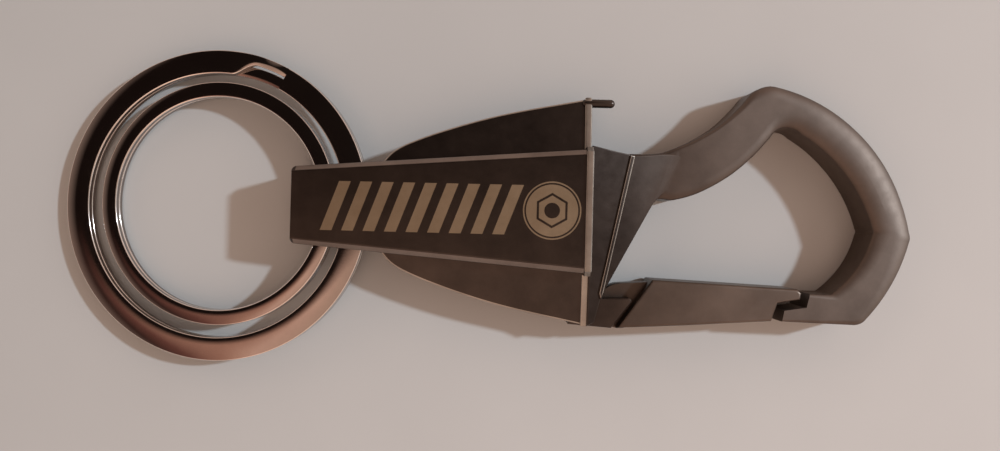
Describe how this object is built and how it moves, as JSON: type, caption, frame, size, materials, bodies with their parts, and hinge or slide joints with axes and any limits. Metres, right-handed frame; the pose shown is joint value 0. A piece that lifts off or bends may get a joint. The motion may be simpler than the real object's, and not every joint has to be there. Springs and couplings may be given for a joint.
{
  "type": "carabiner keyring",
  "caption": "Die-cast hook-shaped key holder with a sprung gate, a raised tapered spine between two wings, and nested flat split rings through its tail.",
  "frame": {"origin": "centre of the whole key ring's box, on the plane that its back lies on", "axes": "+X from the rings to the hook along the spine's centre line, +Z out of the face with the spine, +Y towards the hook arm"},
  "size_m": [0.0863, 0.0318, 0.0077],
  "materials": {
    "casting": "satin gunmetal plating on a zinc casting",
    "gate_casting": "satin gunmetal plating on a zinc casting",
    "steel": "ground steel",
    "spring_steel": "drawn spring wire",
    "black_nickel": "polished black nickel plating",
    "etching": "laser etched bronze-coloured marking"
  },
  "bodies": {
    "casting": {"body_casting": "casting", "gate_hinge_pin": "steel"},
    "gate": {"gate": "gate_casting"},
    "plunger": {"gate_plunger": "steel", "gate_spring": "spring_steel"},
    "large_ring": {"large_split_ring": "black_nickel"},
    "small_ring": {"small_split_ring": "black_nickel"}
  },
  "joints": [
    {"name": "gate_hinge", "type": "hinge", "parent": "casting", "child": "gate", "pos_m": [0.0144, -0.0094, 0.002], "axis": [0, 0, 1], "range_deg": [0, 28], "stiffness_Nm_per_rad": 0.0102, "springref_deg": -22.35},
    {"name": "plunger_slide", "type": "slide", "parent": "casting", "child": "plunger", "axis": [-1, 0, 0], "range_m": [0, 0.0008]},
    {"name": "large_ring_swing", "type": "hinge", "parent": "casting", "child": "large_ring", "pos_m": [-0.01245, 0, 0.003], "axis": [0, 1, 0], "range_deg": [-75, 95]},
    {"name": "small_ring_swing", "type": "hinge", "parent": "casting", "child": "small_ring", "pos_m": [-0.0153, 0, 0.003], "axis": [0, 1, 0], "range_deg": [-45, 50]}
  ],
  "couplings": [
    {"joint": "plunger_slide", "follows": "gate_hinge", "m_per_rad": 0.00163}
  ]
}
